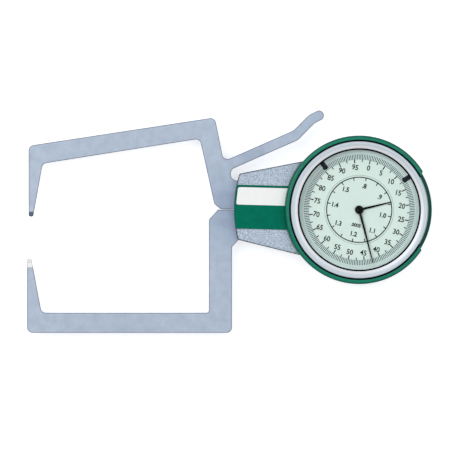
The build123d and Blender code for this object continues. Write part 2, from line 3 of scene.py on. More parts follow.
import bmesh
import bpy
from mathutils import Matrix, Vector


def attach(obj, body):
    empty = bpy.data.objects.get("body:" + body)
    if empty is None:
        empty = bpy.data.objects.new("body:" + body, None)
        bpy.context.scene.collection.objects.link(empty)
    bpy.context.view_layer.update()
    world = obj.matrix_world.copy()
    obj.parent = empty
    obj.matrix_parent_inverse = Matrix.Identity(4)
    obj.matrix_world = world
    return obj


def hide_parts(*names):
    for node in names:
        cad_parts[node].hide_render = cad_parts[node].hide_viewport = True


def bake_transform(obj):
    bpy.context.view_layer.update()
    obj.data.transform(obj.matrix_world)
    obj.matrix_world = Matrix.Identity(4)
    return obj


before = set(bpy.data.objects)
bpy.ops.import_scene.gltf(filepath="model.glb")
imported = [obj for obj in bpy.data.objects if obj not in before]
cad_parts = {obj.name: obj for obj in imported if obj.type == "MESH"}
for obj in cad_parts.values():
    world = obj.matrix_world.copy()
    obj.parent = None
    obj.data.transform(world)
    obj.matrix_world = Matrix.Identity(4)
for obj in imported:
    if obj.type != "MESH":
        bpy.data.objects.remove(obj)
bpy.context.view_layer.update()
print("frame loaded")


def mm(*values):
    return tuple(value * 0.001 for value in values)


def paint(red, green, blue):
    # a colour given in 0-255 steps, as the shader wants it
    steps = [channel / 255 for channel in (red, green, blue)]
    return tuple(c / 12.92 if c < 0.04 else ((c + 0.055) / 1.055) ** 2.4 for c in steps) + (1.0,)


# Shared shader effects

def setValues(node, values):
    for socket, value in values.items():
        node.inputs[socket].default_value = value


def addNode(tree, kind, values=None, **settings):
    made = tree.nodes.new(kind)
    for name, value in settings.items():
        setattr(made, name, value)
    setValues(made, values or {})
    return made


def mixColours(tree, first, second, share, blend="MIX"):
    # each of the three is another node's output or a plain value
    mixed = addNode(tree, "ShaderNodeMix", data_type="RGBA", blend_type=blend)
    for name, source in (("Factor", share), ("A", first), ("B", second)):
        if isinstance(source, bpy.types.NodeSocket):
            tree.links.new(source, mixed.inputs[name])
        else:
            mixed.inputs[name].default_value = source
    return mixed.outputs["Result"]


def startGroup(name, inputs, outputs):
    group = bpy.data.node_groups.new(name, "ShaderNodeTree")
    for title, kind, value in inputs:
        socket = group.interface.new_socket(name=title, in_out="INPUT", socket_type=kind)
        socket.default_value = value
    for title, kind in outputs:
        group.interface.new_socket(name=title, in_out="OUTPUT", socket_type=kind)
    return group, addNode(group, "NodeGroupInput"), addNode(group, "NodeGroupOutput")


def placeInMillimetres(tree):
    # object coordinates, counted in millimetres
    coordinates = addNode(tree, "ShaderNodeTexCoord")
    scaled = addNode(tree, "ShaderNodeVectorMath", {"Scale": 1000}, operation="SCALE")
    tree.links.new(coordinates.outputs["Object"], scaled.inputs[0])
    return scaled.outputs[0]


def makeMottle():
    # soft patches between two colours
    group, start, end = startGroup(
        "mottle",
        [("Light", "NodeSocketColor", (0.8, 0.8, 0.8, 1)), ("Dark", "NodeSocketColor", (0.5, 0.5, 0.5, 1)),
         ("Scale", "NodeSocketFloat", 0.3), ("Spread", "NodeSocketFloat", 0.2)],
        [("Colour", "NodeSocketColor"), ("Mask", "NodeSocketFloat")])
    noise = addNode(group, "ShaderNodeTexNoise", {"Detail": 4, "Roughness": 0.6})
    low = addNode(group, "ShaderNodeMath", {0: 0.5}, operation="SUBTRACT")
    high = addNode(group, "ShaderNodeMath", {0: 0.5}, operation="ADD")
    spread = addNode(group, "ShaderNodeMapRange")
    patches = mixColours(group, start.outputs["Dark"], start.outputs["Light"], spread.outputs["Result"])
    link = group.links.new
    link(placeInMillimetres(group), noise.inputs["Vector"])
    link(start.outputs["Scale"], noise.inputs["Scale"])
    link(start.outputs["Spread"], low.inputs[1])
    link(start.outputs["Spread"], high.inputs[1])
    link(noise.outputs["Fac"], spread.inputs["Value"])
    link(low.outputs[0], spread.inputs["From Min"])
    link(high.outputs[0], spread.inputs["From Max"])
    link(patches, end.inputs["Colour"])
    link(spread.outputs["Result"], end.inputs["Mask"])
    return group


def makeGrain():
    # fine grain, drawn out along an axis where Stretch is uneven
    group, start, end = startGroup(
        "grain",
        [("Stretch", "NodeSocketVector", (1, 1, 1)), ("Scale", "NodeSocketFloat", 5.0)],
        [("Height", "NodeSocketFloat"), ("Mask", "NodeSocketFloat")])
    stretched = addNode(group, "ShaderNodeVectorMath", operation="MULTIPLY")
    noise = addNode(group, "ShaderNodeTexNoise", {"Detail": 3})
    sharper = addNode(group, "ShaderNodeMapRange", {"From Min": 0.35, "From Max": 0.65})
    link = group.links.new
    link(placeInMillimetres(group), stretched.inputs[0])
    link(start.outputs["Stretch"], stretched.inputs[1])
    link(stretched.outputs[0], noise.inputs["Vector"])
    link(start.outputs["Scale"], noise.inputs["Scale"])
    link(noise.outputs["Fac"], sharper.inputs["Value"])
    link(noise.outputs["Fac"], end.inputs["Height"])
    link(sharper.outputs["Result"], end.inputs["Mask"])
    return group


def makeTurning():
    # rings left by a lathe, centred on the dial axis
    group, start, end = startGroup(
        "turning",
        [("Scale", "NodeSocketFloat", 4.0)],
        [("Height", "NodeSocketFloat"), ("Mask", "NodeSocketFloat"), ("Radius", "NodeSocketFloat")])
    flat = addNode(group, "ShaderNodeVectorMath", {1: (1, 1, 0)}, operation="MULTIPLY")
    radius = addNode(group, "ShaderNodeVectorMath", operation="LENGTH")
    noise = addNode(group, "ShaderNodeTexNoise", {"Detail": 3}, noise_dimensions="1D")
    sharper = addNode(group, "ShaderNodeMapRange", {"From Min": 0.3, "From Max": 0.7})
    link = group.links.new
    link(placeInMillimetres(group), flat.inputs[0])
    link(flat.outputs[0], radius.inputs[0])
    link(radius.outputs["Value"], noise.inputs["W"])
    link(start.outputs["Scale"], noise.inputs["Scale"])
    link(noise.outputs["Fac"], sharper.inputs["Value"])
    link(noise.outputs["Fac"], end.inputs["Height"])
    link(sharper.outputs["Result"], end.inputs["Mask"])
    link(radius.outputs["Value"], end.inputs["Radius"])
    return group


def makeHammer():
    # the small cells and flecks of hammertone paint
    group, start, end = startGroup(
        "hammer",
        [("Light", "NodeSocketColor", (0.7, 0.7, 0.7, 1)), ("Dark", "NodeSocketColor", (0.4, 0.4, 0.4, 1)),
         ("Scale", "NodeSocketFloat", 1.2)],
        [("Colour", "NodeSocketColor"), ("Height", "NodeSocketFloat"), ("Mask", "NodeSocketFloat")])
    cells = addNode(group, "ShaderNodeTexVoronoi", feature="SMOOTH_F1")
    flecks = addNode(group, "ShaderNodeTexNoise", {"Detail": 2})
    finer = addNode(group, "ShaderNodeMath", {1: 2.2}, operation="MULTIPLY")
    blend = addNode(group, "ShaderNodeMath", operation="MULTIPLY")
    spread = addNode(group, "ShaderNodeMapRange", {"From Min": 0.05, "From Max": 0.34})
    flecked = mixColours(group, start.outputs["Light"], start.outputs["Dark"], spread.outputs["Result"])
    place = placeInMillimetres(group)
    link = group.links.new
    link(place, cells.inputs["Vector"])
    link(place, flecks.inputs["Vector"])
    link(start.outputs["Scale"], cells.inputs["Scale"])
    link(start.outputs["Scale"], finer.inputs[0])
    link(finer.outputs[0], flecks.inputs["Scale"])
    link(cells.outputs["Distance"], blend.inputs[0])
    link(flecks.outputs["Fac"], blend.inputs[1])
    link(blend.outputs[0], spread.inputs["Value"])
    link(flecked, end.inputs["Colour"])
    link(blend.outputs[0], end.inputs["Height"])
    link(spread.outputs["Result"], end.inputs["Mask"])
    return group


def makeEdgeWear():
    # tints a colour along the sharp edges; some materials use it as wear, others as painted shade lines and
    # painted highlights
    group, start, end = startGroup(
        "wearAndShadeEdges",
        [("Colour", "NodeSocketColor", (0.5, 0.5, 0.5, 1)),
         ("Edge Colour", "NodeSocketColor", (0.9, 0.9, 0.9, 1)),
         ("Width", "NodeSocketFloat", 0.0004), ("Amount", "NodeSocketFloat", 0.6)],
        [("Colour", "NodeSocketColor"), ("Mask", "NodeSocketFloat")])
    rounded = addNode(group, "ShaderNodeBevel", samples=4)
    surface = addNode(group, "ShaderNodeNewGeometry")
    same = addNode(group, "ShaderNodeVectorMath", operation="DOT_PRODUCT")
    edge = addNode(group, "ShaderNodeMapRange", {"From Min": 0.999, "From Max": 0.93})
    amount = addNode(group, "ShaderNodeMath", operation="MULTIPLY", use_clamp=True)
    tinted = mixColours(group, start.outputs["Colour"], start.outputs["Edge Colour"], amount.outputs[0])
    link = group.links.new
    link(start.outputs["Width"], rounded.inputs["Radius"])
    link(rounded.outputs["Normal"], same.inputs[0])
    link(surface.outputs["Normal"], same.inputs[1])
    link(same.outputs["Value"], edge.inputs["Value"])
    link(edge.outputs["Result"], amount.inputs[0])
    link(start.outputs["Amount"], amount.inputs[1])
    link(tinted, end.inputs["Colour"])
    link(amount.outputs[0], end.inputs["Mask"])
    return group


mottleGroup = makeMottle()
grainGroup = makeGrain()
turningGroup = makeTurning()
hammerGroup = makeHammer()
wearAndShadeEdgeGroup = makeEdgeWear()


def startMaterial(name, metallic=0.0, coat=0.0, coatRoughness=0.1, specular=0.5):
    material = bpy.data.materials.new(name)
    material.use_nodes = True
    tree = material.node_tree
    shader = tree.nodes["Principled BSDF"]
    setValues(shader, {"Metallic": metallic, "Coat Weight": coat, "Coat Roughness": coatRoughness,
                       "Specular IOR Level": specular})
    return material, tree, shader


def useGroup(tree, group, **values):
    placed = addNode(tree, "ShaderNodeGroup", node_tree=group)
    setValues(placed, {name.replace("_", " "): value for name, value in values.items()})
    return placed


def varyRoughness(tree, shader, mask, low, high):
    roughness = addNode(tree, "ShaderNodeMapRange", {"To Min": low, "To Max": high})
    tree.links.new(mask, roughness.inputs["Value"])
    tree.links.new(roughness.outputs["Result"], shader.inputs["Roughness"])


def addBump(tree, shader, height, strength, distance):
    bump = addNode(tree, "ShaderNodeBump", {"Strength": strength, "Distance": distance})
    tree.links.new(height, bump.inputs["Height"])
    tree.links.new(bump.outputs["Normal"], shader.inputs["Normal"])


def addBands(tree, distance, bands):
    # colours that change with a distance in millimetres
    near, far = bands[0][0], bands[-1][0]
    place = addNode(tree, "ShaderNodeMapRange", {"From Min": near, "From Max": far})
    ramp = addNode(tree, "ShaderNodeValToRGB")
    stops = ramp.color_ramp.elements
    for index, (reach, colour) in enumerate(bands):
        share = (reach - near) / (far - near)
        if index == 0:
            stop = stops[0]
        elif index == len(bands) - 1:
            stop = stops[-1]
        else:
            stop = stops.new(share)
        stop.position = share
        stop.color = paint(*colour)
    tree.links.new(distance, place.inputs["Value"])
    tree.links.new(place.outputs["Result"], ramp.inputs["Fac"])
    return ramp.outputs["Color"]


def enamel(name, light, dark, edge, roughness=(0.32, 0.5), coat=0.04, edgeAmount=0.5, edgeWidth=0.0004,
           specular=0.22, paintedShade=None):
    # sprayed satin paint with a slight orange peel; its edges take the edge colour, a painted highlight on
    # the guard and a painted shade line on the label
    material, tree, shader = startMaterial(name, coat=coat, coatRoughness=0.25, specular=specular)
    patches = useGroup(tree, mottleGroup, Light=paint(*light), Dark=paint(*dark), Scale=0.35, Spread=0.22)
    peel = useGroup(tree, grainGroup, Scale=2.6)
    edgeTinted = useGroup(tree, wearAndShadeEdgeGroup, Edge_Colour=paint(*edge), Width=edgeWidth, Amount=edgeAmount)
    tree.links.new(patches.outputs["Colour"], edgeTinted.inputs["Colour"])
    colour = edgeTinted.outputs["Colour"]
    if paintedShade:  # painted shade: a darker tone for each distance from the dial axis
        rings = useGroup(tree, turningGroup)
        colour = mixColours(tree, colour, addBands(tree, rings.outputs["Radius"], paintedShade), 1, "MULTIPLY")
    tree.links.new(colour, shader.inputs["Base Color"])
    varyRoughness(tree, shader, peel.outputs["Mask"], *roughness)
    addBump(tree, shader, peel.outputs["Height"], strength=0.16, distance=0.0002)
    return material


def hammertone(name, light, dark, edge, scale=1.5):
    # grey paint that dries in small cells, darker along the edges as painted shade
    material, tree, shader = startMaterial(name, metallic=0.3, coat=0.08, coatRoughness=0.3, specular=0.3)
    cells = useGroup(tree, hammerGroup, Light=paint(*light), Dark=paint(*dark), Scale=scale)
    edgeTinted = useGroup(tree, wearAndShadeEdgeGroup, Edge_Colour=paint(*edge), Width=0.0009, Amount=1.0)
    tree.links.new(cells.outputs["Colour"], edgeTinted.inputs["Colour"])
    tree.links.new(edgeTinted.outputs["Colour"], shader.inputs["Base Color"])
    varyRoughness(tree, shader, cells.outputs["Mask"], 0.38, 0.55)
    addBump(tree, shader, cells.outputs["Height"], strength=0.3, distance=0.0002)
    return material


def groundSteel(name, light, dark, edge, metallic=0.45, edgeAmount=0.7, paintedShade=None):
    # ground and satin plated steel: cloudy patches under a fine directional grain
    material, tree, shader = startMaterial(name, metallic=metallic)
    patches = useGroup(tree, mottleGroup, Light=paint(*light), Dark=paint(*dark), Scale=0.22, Spread=0.2)
    lines = useGroup(tree, grainGroup, Stretch=(0.15, 2.5, 1), Scale=4.0)
    edgeTinted = useGroup(tree, wearAndShadeEdgeGroup, Edge_Colour=paint(*edge), Width=0.0005, Amount=edgeAmount)
    toned = mixColours(tree, patches.outputs["Colour"], lines.outputs["Mask"], 0.05, "MULTIPLY")
    if paintedShade:  # painted shade: darker along X over the lever, and a painted shadow outwards from the neck, in millimetres
        place = placeInMillimetres(tree)
        split = addNode(tree, "ShaderNodeSeparateXYZ")
        reach = addNode(tree, "ShaderNodeVectorMath", {1: paintedShade["neck"]}, operation="DISTANCE")
        tree.links.new(place, split.inputs[0])
        tree.links.new(place, reach.inputs[0])
        for distance, bands in ((split.outputs["X"], "along"), (reach.outputs["Value"], "outwards")):
            toned = mixColours(tree, toned, addBands(tree, distance, paintedShade[bands]), 1, "MULTIPLY")
    tree.links.new(toned, edgeTinted.inputs["Colour"])
    tree.links.new(edgeTinted.outputs["Colour"], shader.inputs["Base Color"])
    varyRoughness(tree, shader, lines.outputs["Mask"], 0.38, 0.55)
    addBump(tree, shader, lines.outputs["Height"], strength=0.12, distance=0.0001)
    return material


def turnedMetal(name, light, dark, metallic=0.7, roughness=(0.25, 0.42), scale=3.0, bands=None):
    # metal turned on a lathe, with fine concentric rings
    material, tree, shader = startMaterial(name, metallic=metallic)
    rings = useGroup(tree, turningGroup, Scale=scale)
    shown = mixColours(tree, paint(*dark), paint(*light), rings.outputs["Mask"])
    # the bands paint light and shade by radius, as on the bezel
    if bands:
        shown = mixColours(tree, shown, addBands(tree, rings.outputs["Radius"], bands), 0.85)
    tree.links.new(shown, shader.inputs["Base Color"])
    varyRoughness(tree, shader, rings.outputs["Mask"], *roughness)
    addBump(tree, shader, rings.outputs["Height"], strength=0.1, distance=0.0001)
    return material


def rubber(name, light, dark, roughness=(0.55, 0.75), specular=0.12):
    # dull rubber, ink and black lacquer with fine pores
    material, tree, shader = startMaterial(name, specular=specular)
    patches = useGroup(tree, mottleGroup, Light=paint(*light), Dark=paint(*dark), Scale=1.4, Spread=0.25)
    pores = useGroup(tree, grainGroup, Scale=6.0)
    tree.links.new(patches.outputs["Colour"], shader.inputs["Base Color"])
    varyRoughness(tree, shader, pores.outputs["Mask"], *roughness)
    addBump(tree, shader, pores.outputs["Height"], strength=0.15, distance=0.0001)
    return material


def dialEnamel(name, zones):
    # printed enamel whose colour steps outwards from the dial axis; the grey ring near 27 mm is painted
    # shade and the lighter rim at 28.2 mm is painted light against the bezel's shadow
    material, tree, shader = startMaterial(name, coat=0.1)
    rings = useGroup(tree, turningGroup)
    grain = useGroup(tree, grainGroup, Scale=5.0)
    ground = addBands(tree, rings.outputs["Radius"], zones)
    speckled = mixColours(tree, ground, grain.outputs["Mask"], 0.06, "MULTIPLY")
    tree.links.new(speckled, shader.inputs["Base Color"])
    varyRoughness(tree, shader, grain.outputs["Mask"], 0.4, 0.55)
    return material


def clearCrystal(name):
    # clear plate; shadow rays pass straight through it
    material, tree, shader = startMaterial(name)
    setValues(shader, {"Base Color": (0.985, 1.0, 0.995, 1), "Transmission Weight": 1, "IOR": 1.12})
    wipe = useGroup(tree, mottleGroup, Scale=0.12, Spread=0.25)
    varyRoughness(tree, shader, wipe.outputs["Mask"], 0.0, 0.004)
    path = addNode(tree, "ShaderNodeLightPath")
    through = addNode(tree, "ShaderNodeBsdfTransparent", {"Color": (0.97, 0.985, 0.98, 1)})
    mixed = addNode(tree, "ShaderNodeMixShader")
    tree.links.new(path.outputs["Is Shadow Ray"], mixed.inputs["Fac"])
    tree.links.new(shader.outputs["BSDF"], mixed.inputs[1])
    tree.links.new(through.outputs["BSDF"], mixed.inputs[2])
    tree.links.new(mixed.outputs["Shader"], tree.nodes["Material Output"].inputs["Surface"])
    return material


# Tones and zones are pairs of a distance in millimetres and a colour
# the dial's mint centre is its own colour; the grey ring near 27 mm is painted shade, the lighter rim at
# 28.2 mm painted light
dialShadeZones = ((0.0, (199, 215, 209)), (23.7, (199, 215, 209)), (23.9, (195, 214, 211)),
             (26.5, (195, 214, 211)), (27.0, (184, 202, 200)), (28.2, (204, 221, 219)))
# painted shade on the guard: its rounded shoulder is darker between 34.75 and 35.16 mm
guardShoulderShade = ((33.0, (255, 255, 255)), (34.3, (255, 255, 255)), (34.75, (198, 200, 202)),
              (35.16, (188, 190, 192)), (35.26, (255, 255, 255)))
# painted shade on the arms: a painted shadow round the neck, and darker along X over the lever
armPaintedShade = {
    "neck": (-59.0, 0.0, 9.5),
    "along": ((-157, (255, 255, 255)), (-115, (250, 250, 250)), (-76, (252, 252, 253)),
              (-58, (248, 249, 250)), (-54, (233, 236, 239)), (-46, (233, 235, 238)),
              (-41, (252, 253, 253)), (-30, (243, 245, 248))),
    "outwards": ((4, (226, 230, 237)), (6.5, (226, 230, 237)), (9, (231, 235, 241)),
                 (12, (239, 242, 246)), (18, (248, 249, 251)), (28, (255, 255, 255))),
}
# painted light and shade on the bezel: lighter over the inner slope, darker over the top and outer rim
bezelLightAndShade = ((28.8, (226, 231, 236)), (30.2, (234, 238, 242)), (30.8, (200, 209, 219)),
              (31.4, (194, 205, 216)), (32.0, (196, 207, 218)), (32.4, (176, 190, 200)))

# the guard's lighter edge colour is a painted highlight along its edges
guardGreen = enamel("guardGreen", (5, 134, 109), (0, 117, 93), (40, 150, 126), roughness=(0.2, 0.32),
                    coat=0.14, specular=0.18, paintedShade=guardShoulderShade)
# painted shade: the setting ring's darker green stands in for the shade under the guard
settingShadeGreen = enamel("settingShadeGreen", (4, 88, 68), (0, 76, 58), (20, 112, 90), edgeWidth=0.0003,
                      specular=0.15)
# the label's dark edge colour is a painted shade line along the plate's edges
labelGreen = enamel("labelGreen", (2, 119, 95), (0, 108, 85), (0, 76, 58), edgeAmount=0.8, coat=0,
                    specular=0.03)
whiteEnamel = enamel("whiteEnamel", (253, 254, 254), (249, 251, 251), (240, 243, 244), edgeAmount=0.3)
# painted shade: the neck's dark edge colour and the darker finish of its chamfers
neckGrey = hammertone("neckGrey", (216, 230, 246), (140, 153, 170), (62, 70, 84), scale=2.3)
neckChamferShade = hammertone("neckChamferShade", (60, 70, 84), (38, 46, 58), (34, 41, 52))
# painted shade: the arms' darker edge colour and the darker steel on their bevels make a shade line along
# the edges
armSteel = groundSteel("armSteel", (188, 201, 219), (173, 187, 205), (104, 117, 136), paintedShade=armPaintedShade)
steelBevelShade = groundSteel("steelBevelShade", (128, 140, 158), (104, 116, 134), (84, 96, 114))
pinSteel = groundSteel("pinSteel", (190, 196, 205), (150, 157, 168), (120, 126, 136), metallic=0.85)
springSteel = groundSteel("springSteel", (120, 126, 136), (88, 94, 104), (70, 74, 82), metallic=0.85)
# the fixed tip's near-white carbide is a painted reflection of its ground flat, with a painted shade
# outline; the moving tip keeps the darker carbide
darkCarbide = groundSteel("darkCarbide", (112, 126, 146), (82, 94, 112), (56, 64, 78), metallic=0.3)
carbidePaintedReflection = groundSteel("carbidePaintedReflection", (250, 251, 252), (238, 241, 244), (112, 111, 108),
                            metallic=0.15, edgeAmount=0.95)
bezelSilver = turnedMetal("bezelSilver", (226, 231, 238), (210, 216, 226), metallic=0.3,
                          roughness=(0.36, 0.5), scale=2.0, bands=bezelLightAndShade)
turnedBrass = turnedMetal("turnedBrass", (206, 170, 92), (170, 134, 62), metallic=0.9)
coverSteel = turnedMetal("coverSteel", (172, 182, 196), (140, 150, 166), metallic=0.6, roughness=(0.35, 0.5))
printInk = rubber("printInk", (14, 17, 21), (8, 10, 13))
blackRubber = rubber("blackRubber", (14, 17, 21), (6, 8, 10), specular=0.03)
handBlack = rubber("handBlack", (12, 15, 18), (6, 8, 10), roughness=(0.3, 0.45), specular=0.06)
capBlack = rubber("capBlack", (9, 17, 18), (5, 10, 11), roughness=(0.3, 0.45), specular=0.06)
markerNavy = rubber("markerNavy", (22, 30, 42), (13, 19, 29), roughness=(0.35, 0.5))
mintDial = dialEnamel("dialEnamel", dialShadeZones)
crystalClear = clearCrystal("clearCrystal")
print("materials made")


# Mesh helpers

def bakeMesh(name, work):
    mesh = bpy.data.meshes.new(name)
    work.to_mesh(mesh)
    work.free()
    return mesh


def placeObject(name, data):
    placed = bpy.data.objects.new(name, data)
    bpy.context.scene.collection.objects.link(placed)
    return placed


def mergeInto(work, part):
    mesh = bakeMesh("part", part)
    work.from_mesh(mesh)
    bpy.data.meshes.remove(mesh)


def smoothFaces(mesh, sharp):
    mesh.polygons.foreach_set("use_smooth", [True] * len(mesh.polygons))
    mesh.set_sharp_from_angle(angle=radians(sharp))


def finishMesh(name, work, material, body, node=None, sharp=30):
    # turns the working mesh into a piece of the scene
    bmesh.ops.recalc_face_normals(work, faces=work.faces)
    mesh = bakeMesh(name, work)
    mesh.materials.append(material)
    smoothFaces(mesh, sharp)
    piece = placeObject(name, mesh)
    if body:
        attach(piece, body)
    if node:
        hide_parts(node)
    return piece


def copyNode(node):
    # the node's own mesh, with its flat faces joined again
    work = bmesh.new()
    work.from_mesh(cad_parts[node].data)
    bmesh.ops.remove_doubles(work, verts=work.verts, dist=1e-6)
    bmesh.ops.dissolve_limit(work, angle_limit=radians(0.6), verts=work.verts, edges=work.edges)
    return work


def softenEdges(piece, width, segments=2, angle=35, edgeMaterial=None):
    softened = piece.modifiers.new("softened edges", "BEVEL")
    if edgeMaterial:
        piece.data.materials.append(edgeMaterial)
        softened.material = len(piece.data.materials) - 1
    softened.limit_method = "ANGLE"
    softened.angle_limit = radians(angle)
    softened.width = width * 0.001
    softened.segments = segments
    softened.use_clamp_overlap = False
    softened.harden_normals = True
    return piece


bodyOf = {  # what each dressed node rides on
    "case_body": "case", "neck_cover": "case", "label_plate": "case", "fixed_arm": "case",
    "fixed_arm_tip": "case", "moving_arm": "measuring_arm", "moving_arm_tip": "measuring_arm",
    "hand_cap": "centre", "limit_marker_left": "left_marker", "limit_marker_right": "right_marker",
}


def dressNode(node, material, width, segments=2, angle=35, edgeMaterial=None):
    piece = finishMesh(node + "_shell", copyNode(node), material, bodyOf[node], node)
    return softenEdges(piece, width, segments, angle, edgeMaterial)


def turnProfile(profile, columns, radiusAt=None, angles=None):
    # turns a closed (radius, height) profile round the dial axis; angles give a cut ring
    work = bmesh.new()
    rings = []
    whole = angles is None
    steps = [2 * pi * column / columns for column in range(columns)] if whole else angles
    for turn in steps:
        ring = []
        for radius, height in profile:
            angle = turn if whole else turn(radius)
            reach = radiusAt(radius, height, angle) if radiusAt else radius
            ring.append(work.verts.new(mm(reach * cos(angle), reach * sin(angle), height)))
        rings.append(ring)
    count = len(profile)
    for index in range(len(rings) if whole else len(rings) - 1):
        near = rings[index]
        far = rings[(index + 1) % len(rings)]
        for corner in range(count):
            after = (corner + 1) % count
            work.faces.new((near[corner], far[corner], far[after], near[after]))
    if not whole:
        work.faces.new(rings[0])
        work.faces.new(list(reversed(rings[-1])))
    return work


def roundCorner(corner, before, after, radius, steps=4):
    # points of a rounded corner between two neighbours
    corner, before, after = Vector(corner), Vector(before), Vector(after)
    inward = (before - corner).normalized() * radius
    onward = (after - corner).normalized() * radius
    points = []
    for step in range(steps + 1):
        share = step / steps
        points.append(tuple(corner + inward * (1 - share) ** 2 + onward * share ** 2))
    return points


def roundedProfile(corners):
    # corners are (radius, height, rounding)
    points = []
    for index, (radius, height, rounding) in enumerate(corners):
        if rounding == 0:
            points.append((radius, height))
            continue
        before = corners[index - 1][:2]
        after = corners[(index + 1) % len(corners)][:2]
        points.extend(roundCorner((radius, height), before, after, rounding))
    return points


def turnAt(point, turn, at=(0, 0)):
    # a point of the plane turned round the origin, then moved
    x, y = point
    return (x * cos(turn) - y * sin(turn) + at[0], x * sin(turn) + y * cos(turn) + at[1])


def polar(radius, degrees):
    return (radius * cos(radians(degrees)), radius * sin(radians(degrees)))


def addSlab(work, points, bottom, top):
    # a flat closed slab over an outline
    low = [work.verts.new(mm(x, y, bottom)) for x, y in points]
    high = [work.verts.new(mm(x, y, top)) for x, y in points]
    work.faces.new(low)
    work.faces.new(list(reversed(high)))
    for index in range(len(points)):
        after = (index + 1) % len(points)
        work.faces.new((low[index], high[index], high[after], low[after]))


def makeDisc(radius, bottom, top, rounding, columns, at=(0, 0)):
    # a round plate with softened rims
    work = bmesh.new()
    levels = [(radius - rounding, bottom), (radius, bottom + rounding),
              (radius, top - rounding), (radius - rounding, top)]
    rings = []
    for reach, height in levels:
        ring = []
        for column in range(columns):
            x, y = polar(reach, 360 * column / columns)
            ring.append(work.verts.new(mm(x + at[0], y + at[1], height)))
        rings.append(ring)
    work.faces.new(list(reversed(rings[0])))
    work.faces.new(rings[-1])
    for near, far in zip(rings, rings[1:]):
        for index in range(columns):
            after = (index + 1) % columns
            work.faces.new((near[index], near[after], far[after], far[index]))
    return work


# The two arms and their tips
armValues = {"edge": 0.3, "tipEdge": 0.14, "rootBand": 0.4, "lap": 0.34, "proud": 0.03, "middle": 7.75,
             "seam": (-68.0, -58.0), "seamHalf": 0.5, "closer": 0.17, "crook": (-152.0, -147.0),
             "higher": 0.5}
for node, towards in (("fixed_arm", 1), ("moving_arm", -1)):
    arm = dressNode(node, armSteel, armValues["edge"], segments=3, edgeMaterial=steelBevelShade)
    for vertex in arm.data.vertices:
        x, y = vertex.co.x * 1000, vertex.co.y * 1000
        if armValues["seam"][0] < x < armValues["seam"][1] and abs(y) < armValues["seamHalf"]:
            vertex.co.y += towards * armValues["closer"] * 0.001  # the roots come closer along their seam
        elif node == "moving_arm" and armValues["crook"][0] < x < armValues["crook"][1]:
            vertex.co.y += armValues["higher"] * 0.001  # the corner by the leg stands higher
for node, material, slot, side in (("fixed_arm_tip", carbidePaintedReflection, "carbide_bright", -1),
                                   ("moving_arm_tip", darkCarbide, "carbide_dark", 1)):
    tip = dressNode(node, material, armValues["tipEdge"])
    root = max(vertex.co.y * side for vertex in tip.data.vertices)
    for vertex in tip.data.vertices:  # the insert's root laps over the arm's end
        if vertex.co.y * side > root - armValues["rootBand"] * 0.001:
            above = vertex.co.z > armValues["middle"] * 0.001
            vertex.co.y += side * armValues["lap"] * 0.001
            vertex.co.z += armValues["proud"] * 0.001 * (1 if above else -1)

# Case and neck
neckValues = {"edge": 0.16, "coverAngle": 50, "caseAngle": 40, "labelEdge": 0.1, "slope": (0.3, 0.9)}


def darkenChamfers(piece, material):
    # painted shade: the sloping faces of the piece take a second, darker finish
    piece.data.materials.append(material)
    for face in piece.data.polygons:
        if neckValues["slope"][0] < face.normal.z < neckValues["slope"][1]:
            face.material_index = len(piece.data.materials) - 1


neckShell = dressNode("neck_cover", neckGrey, neckValues["edge"], angle=neckValues["coverAngle"])
darkenChamfers(neckShell, neckChamferShade)
caseShell = dressNode("case_body", neckGrey, neckValues["edge"], angle=neckValues["caseAngle"])
dressNode("label_plate", labelGreen, neckValues["labelEdge"])
print("arms and neck dressed")

# Bare white field of the label
fieldValues = {"low": 1.0, "high": 9.32, "left": 58.5, "right": 35.4, "floor": 15.95, "top": 16.06,
               "cant": -1.5, "steps": 12, "corner": 1.1, "cornerSteps": 5, "edge": 0.04}


def makeLabelField():
    v = fieldValues
    low, high = v["low"], v["high"]
    points = []
    for step in range(v["steps"] + 1):  # along the guard
        y = low + (high - low) * step / v["steps"]
        points.append((-sqrt(v["right"] ** 2 - y ** 2), y))
    topLeft = (-sqrt(v["left"] ** 2 - high ** 2), high)
    lowLeft = (-sqrt(v["left"] ** 2 - low ** 2), low)
    points += roundCorner(topLeft, points[-1], lowLeft, v["corner"], v["cornerSteps"])
    points += roundCorner(lowLeft, topLeft, points[0], v["corner"], v["cornerSteps"])
    work = bmesh.new()
    addSlab(work, [turnAt(point, radians(v["cant"])) for point in points], v["floor"], v["top"])
    return work


labelField = finishMesh("label_field", makeLabelField(), whiteEnamel, "case")
softenEdges(labelField, fieldValues["edge"])

# Guard with its open window
guardValues = {"bottom": 12.1, "top": 20.5, "outer": 35.28, "wall": 34.52, "lipInner": 33.28, "lip": 1.2,
               "wallFoot": 0.1, "outerFoot": 0.25, "crown": 1.25, "lipCrown": 0.15, "lipUnder": 0.2,
               "high": 30.5, "low": -32.4, "ramp": 2.2, "endInner": 32.9, "beyond": 1.2, "columns": 220}
# a black strip under the guard's lip is painted shadow in the gap by the bezel
shadowGapValues = {"corners": [(32.55, 19.5, 0), (33.45, 19.5, 0), (33.45, 20.0, 0), (33.25, 20.25, 0.05),
                          (32.55, 20.25, 0.05)]}


def turnOpenRing(corners):
    # a ring cut away at the window, with leaning ends
    v = guardValues
    inner, outer = v["endInner"], v["outer"] + v["beyond"]

    def leaning(share):
        def angleFor(radius):
            lean = v["ramp"] * (2 * (radius - inner) / (outer - inner) - 1)
            first = v["high"] + lean
            last = 360 + v["low"] - lean
            return radians(first + (last - first) * share)
        return angleFor
    turns = [leaning(column / v["columns"]) for column in range(v["columns"] + 1)]
    return turnProfile(roundedProfile(corners), 0, angles=turns)


